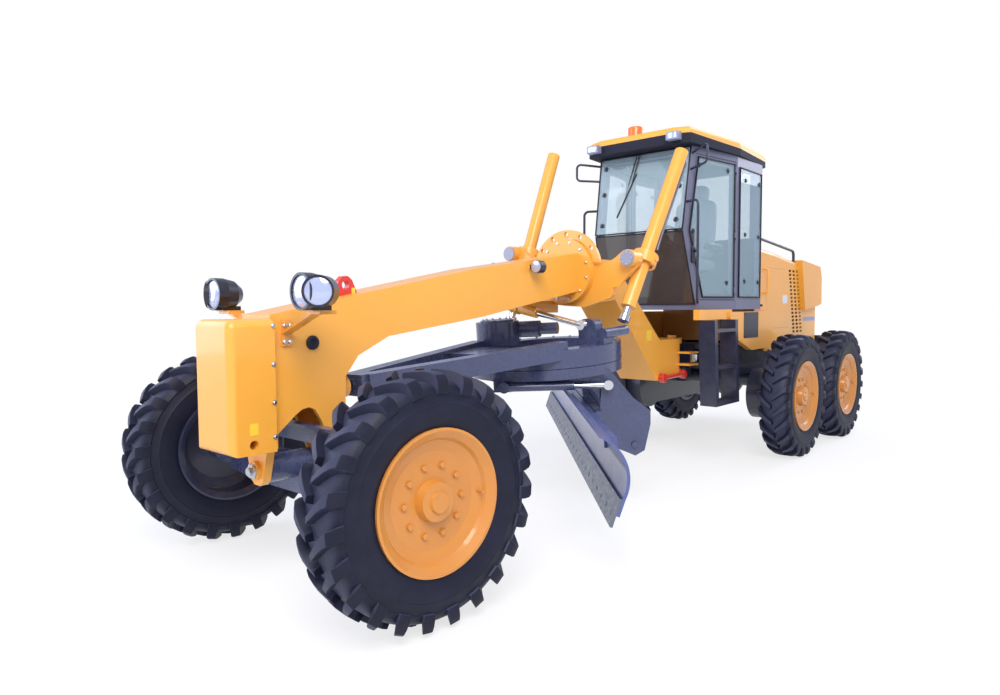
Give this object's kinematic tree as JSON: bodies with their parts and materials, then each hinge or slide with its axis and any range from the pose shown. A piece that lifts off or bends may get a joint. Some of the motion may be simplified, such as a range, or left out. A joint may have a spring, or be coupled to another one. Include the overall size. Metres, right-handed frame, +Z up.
{
  "type": "motor grader",
  "caption": "Articulated motor grader: front blade on a turning circle, leaning steered front wheels, closed cab and engine hood over tandem rear wheels.",
  "frame": {"origin": "middle of the vertical pin bore in the rear tow hitch, 640 mm above the ground", "axes": "+X forward, +Y to the machine's left, +Z up along the tow pin"},
  "size_m": [8.1115, 2.7619, 3.285],
  "materials": {
    "yellow_paint": "semi-gloss",
    "blue_grey_paint": "gloss",
    "black_paint": "satin",
    "grey_paint": "satin",
    "red_paint": "semi-gloss",
    "chrome": "polished",
    "steel": "worn",
    "glass": "clear",
    "plastic": "matt",
    "lamp": "gloss",
    "tyre": "matt"
  },
  "bodies": {
    "rear_body": {"rear_frame": "black_paint", "engine_block": "black_paint", "hood": "yellow_paint", "tandem_axle": "black_paint", "cab_frame": "grey_paint", "cab_glass": "glass", "cab_roof": "yellow_paint", "cab_interior": "plastic", "access_steps": "yellow_paint", "handrails": "black_paint", "roof_lights": "lamp", "hood_vents": "yellow_paint"},
    "front_body": {"boom": "yellow_paint", "nose_box": "yellow_paint", "saddle": "yellow_paint", "headlamps": "lamp", "front_axle": "blue_grey_paint", "lifting_eye": "red_paint"},
    "tie_rod": {"tie_rod": "black_paint"},
    "lean_bar": {"lean_bar": "blue_grey_paint"},
    "drawbar_ball": {"drawbar_ball": "steel"},
    "drawbar": {"drawbar": "blue_grey_paint"},
    "circle": {"circle": "blue_grey_paint"},
    "tilt_bracket": {"tilt_bracket": "blue_grey_paint"},
    "blade": {"moldboard": "blue_grey_paint", "cutting_edge": "steel"},
    "tilt_barrels": {"tilt_barrels": "blue_grey_paint"},
    "tilt_rods": {"tilt_rods": "chrome"},
    "shift_barrel": {"shift_barrel": "yellow_paint"},
    "shift_rod": {"shift_rod": "chrome"},
    "lean_left": {"lean_yoke_left": "blue_grey_paint"},
    "steer_left": {"knuckle_left": "blue_grey_paint"},
    "lift_yoke_left": {"lift_yoke_left": "yellow_paint"},
    "lift_barrel_left": {"lift_barrel_left": "yellow_paint"},
    "lift_rod_left": {"lift_rod_left": "chrome"},
    "artic_barrel_left": {"artic_barrel_left": "yellow_paint"},
    "artic_rod_left": {"artic_rod_left": "chrome"},
    "door_left": {"door_left": "black_paint", "door_glass_left": "glass"},
    "lean_right": {"lean_yoke_right": "blue_grey_paint"},
    "steer_right": {"knuckle_right": "blue_grey_paint"},
    "lift_yoke_right": {"lift_yoke_right": "yellow_paint"},
    "lift_barrel_right": {"lift_barrel_right": "yellow_paint"},
    "lift_rod_right": {"lift_rod_right": "chrome"},
    "artic_barrel_right": {"artic_barrel_right": "yellow_paint"},
    "artic_rod_right": {"artic_rod_right": "chrome"},
    "door_right": {"door_right": "black_paint", "door_glass_right": "glass"},
    "wheel_front_left": {"rim_front_left": "yellow_paint", "tyre_front_left": "tyre"},
    "wheel_front_right": {"rim_front_right": "yellow_paint", "tyre_front_right": "tyre"},
    "wheel_mid_left": {"rim_mid_left": "yellow_paint", "tyre_mid_left": "tyre"},
    "wheel_mid_right": {"rim_mid_right": "yellow_paint", "tyre_mid_right": "tyre"},
    "wheel_rear_left": {"rim_rear_left": "yellow_paint", "tyre_rear_left": "tyre"},
    "wheel_rear_right": {"rim_rear_right": "yellow_paint", "tyre_rear_right": "tyre"}
  },
  "joints": [
    {"name": "articulation", "type": "hinge", "parent": "rear_body", "child": "front_body", "pos_m": [3.04, 0, 0.36], "axis": [0, 0, 1], "range_deg": [-27, 27]},
    {"name": "artic_barrel_left_swing", "type": "hinge", "parent": "rear_body", "child": "artic_barrel_left", "pos_m": [2.28, 0.32, 0.375], "axis": [0, 0, 1], "range_deg": [-2.99, 2.99]},
    {"name": "artic_rod_left_slide", "type": "slide", "parent": "artic_barrel_left", "child": "artic_rod_left", "axis": [0.9997, -0.0232, 0], "range_m": [-0.1431, 0.1431]},
    {"name": "artic_barrel_right_swing", "type": "hinge", "parent": "rear_body", "child": "artic_barrel_right", "pos_m": [2.28, -0.32, 0.375], "axis": [0, 0, 1], "range_deg": [-2.99, 2.99]},
    {"name": "artic_rod_right_slide", "type": "slide", "parent": "artic_barrel_right", "child": "artic_rod_right", "axis": [0.9997, 0.0232, 0], "range_m": [-0.1431, 0.1431]},
    {"name": "wheel_lean_left", "type": "hinge", "parent": "front_body", "child": "lean_left", "pos_m": [7.42, 0.7, -0.065], "axis": [1, 0, 0], "range_deg": [-17, 17]},
    {"name": "steering_left", "type": "hinge", "parent": "lean_left", "child": "steer_left", "pos_m": [7.42, 0.79, -0.018], "axis": [0, 0, 1], "range_deg": [-43.3, 54.7]},
    {"name": "wheel_front_left_spin", "type": "hinge", "parent": "steer_left", "child": "wheel_front_left", "pos_m": [7.44185, 1.00891, -0.018], "axis": [0.0993, 0.9951, 0], "continuous": true},
    {"name": "wheel_lean_right", "type": "hinge", "parent": "front_body", "child": "lean_right", "pos_m": [7.42, -0.7, -0.065], "axis": [1, 0, 0], "range_deg": [-17, 17]},
    {"name": "steering_right", "type": "hinge", "parent": "lean_right", "child": "steer_right", "pos_m": [7.42, -0.79, -0.018], "axis": [0, 0, 1], "range_deg": [-43.3, 54.7]},
    {"name": "wheel_front_right_spin", "type": "hinge", "parent": "steer_right", "child": "wheel_front_right", "pos_m": [7.39815, -1.00891, -0.018], "axis": [0.0993, 0.9951, 0], "continuous": true},
    {"name": "lean_bar_slide", "type": "slide", "parent": "front_body", "child": "lean_bar", "axis": [0, 1, 0], "range_m": [-0.0761, 0.0761]},
    {"name": "tie_rod_slide", "type": "slide", "parent": "front_body", "child": "tie_rod", "axis": [0, 1, 0], "range_m": [-0.194, 0.154]},
    {"name": "wheel_mid_left_spin", "type": "hinge", "parent": "rear_body", "child": "wheel_mid_left", "pos_m": [2.358, 1.01, -0.018], "axis": [0, 1, 0], "continuous": true},
    {"name": "wheel_mid_right_spin", "type": "hinge", "parent": "rear_body", "child": "wheel_mid_right", "pos_m": [2.358, -1.01, -0.018], "axis": [0, 1, 0], "continuous": true},
    {"name": "wheel_rear_left_spin", "type": "hinge", "parent": "rear_body", "child": "wheel_rear_left", "pos_m": [0.922, 1.01, -0.018], "axis": [0, 1, 0], "continuous": true},
    {"name": "wheel_rear_right_spin", "type": "hinge", "parent": "rear_body", "child": "wheel_rear_right", "pos_m": [0.922, -1.01, -0.018], "axis": [0, 1, 0], "continuous": true},
    {"name": "drawbar_yaw", "type": "hinge", "parent": "front_body", "child": "drawbar_ball", "pos_m": [7.15, 0, 0.422], "axis": [0, 0, 1], "range_deg": [-6, 6]},
    {"name": "drawbar_lift", "type": "hinge", "parent": "drawbar_ball", "child": "drawbar", "pos_m": [7.15, 0, 0.422], "axis": [0, 1, 0], "range_deg": [-24, 1]},
    {"name": "circle_turn", "type": "hinge", "parent": "drawbar", "child": "circle", "pos_m": [5.19078, 0, 0.559], "axis": [0.0697, -0.0201, 0.9974], "range_deg": [-8, 85]},
    {"name": "blade_tilt", "type": "hinge", "parent": "circle", "child": "tilt_bracket", "pos_m": [4.73889, 0.44665, -0.12532], "axis": [0.7305, 0.6819, -0.0374], "range_deg": [-2, 20]},
    {"name": "blade_side_shift", "type": "slide", "parent": "tilt_bracket", "child": "blade", "axis": [0.7305, 0.6819, -0.0374], "range_m": [-0.6, 0.45]},
    {"name": "tilt_barrels_swing", "type": "hinge", "parent": "circle", "child": "tilt_barrels", "pos_m": [5.42421, -0.26325, 0.31881], "axis": [0.7305, 0.6819, -0.0374], "range_deg": [-8.36, 1.11]},
    {"name": "tilt_rods_slide", "type": "slide", "parent": "tilt_barrels", "child": "tilt_rods", "axis": [-0.6816, 0.7314, 0.0208], "range_m": [-0.1476, 0.0166]},
    {"name": "lift_yoke_left_swing", "type": "hinge", "parent": "front_body", "child": "lift_yoke_left", "pos_m": [4.681, 0.61111, 1.2693], "axis": [1, 0, 0], "range_deg": [-12.3, 12.3]},
    {"name": "lift_barrel_left_swing", "type": "hinge", "parent": "lift_yoke_left", "child": "lift_barrel_left", "pos_m": [4.681, 0.61111, 1.2693], "axis": [0, 1, 0], "range_deg": [-1.2, 21.85]},
    {"name": "lift_rod_left_slide", "type": "slide", "parent": "lift_barrel_left", "child": "lift_rod_left", "axis": [0.4679, -0.0629, -0.8815], "range_m": [-0.0401, 0.8709]},
    {"name": "lift_yoke_right_swing", "type": "hinge", "parent": "front_body", "child": "lift_yoke_right", "pos_m": [4.681, -0.59118, 1.36392], "axis": [1, 0, 0], "range_deg": [-12.3, 12.3]},
    {"name": "lift_barrel_right_swing", "type": "hinge", "parent": "lift_yoke_right", "child": "lift_barrel_right", "pos_m": [4.681, -0.59118, 1.36392], "axis": [0, 1, 0], "range_deg": [-0.96, 16.22]},
    {"name": "lift_rod_right_slide", "type": "slide", "parent": "lift_barrel_right", "child": "lift_rod_right", "axis": [0.3914, 0.0113, -0.9202], "range_m": [-0.0407, 0.8855]},
    {"name": "shift_barrel_swing", "type": "hinge", "parent": "front_body", "child": "shift_barrel", "pos_m": [5.31774, -0.19, 0.89], "axis": [1, 0, 0], "range_deg": [-49.1, 2.52]},
    {"name": "shift_rod_slide", "type": "slide", "parent": "shift_barrel", "child": "shift_rod", "axis": [0, 0.9781, -0.2082], "range_m": [-0.0194, 0.3726]},
    {"name": "door_left", "type": "hinge", "parent": "rear_body", "child": "door_left", "pos_m": [2.91592, 0.61786, 1.56], "axis": [0, 0, 1], "range_deg": [0, 105]},
    {"name": "door_right", "type": "hinge", "parent": "rear_body", "child": "door_right", "pos_m": [2.91592, -0.61786, 1.56], "axis": [0, 0, -1], "range_deg": [0, 105]}
  ],
  "couplings": [
    {"joint": "artic_barrel_left_swing", "follows": "articulation", "ratio": 0.09962},
    {"joint": "artic_rod_left_slide", "follows": "articulation", "m_per_rad": -0.29723},
    {"joint": "artic_barrel_right_swing", "follows": "articulation", "ratio": 0.09962},
    {"joint": "artic_rod_right_slide", "follows": "articulation", "m_per_rad": 0.29723},
    {"joint": "wheel_lean_right", "follows": "wheel_lean_left", "ratio": 1},
    {"joint": "steering_right", "follows": "steering_left", "ratio": 1},
    {"joint": "lean_bar_slide", "follows": "wheel_lean_left", "m_per_rad": -0.25315},
    {"joint": "tie_rod_slide", "follows": "steering_left", "m_per_rad": -0.2},
    {"joint": "tilt_barrels_swing", "follows": "blade_tilt", "ratio": -0.40308},
    {"joint": "tilt_rods_slide", "follows": "blade_tilt", "m_per_rad": -0.41717},
    {"joint": "lift_yoke_left_swing", "follows": "drawbar_yaw", "ratio": -2},
    {"joint": "lift_barrel_left_swing", "follows": "drawbar_lift", "ratio": -0.8981},
    {"joint": "lift_rod_left_slide", "follows": "drawbar_lift", "m_per_rad": -2.0695},
    {"joint": "lift_yoke_right_swing", "follows": "drawbar_yaw", "ratio": -2},
    {"joint": "lift_barrel_right_swing", "follows": "drawbar_lift", "ratio": -0.66314},
    {"joint": "lift_rod_right_slide", "follows": "drawbar_lift", "m_per_rad": -2.1045},
    {"joint": "shift_barrel_swing", "follows": "drawbar_lift", "ratio": 2.0249},
    {"joint": "shift_rod_slide", "follows": "drawbar_lift", "m_per_rad": -0.88}
  ]
}
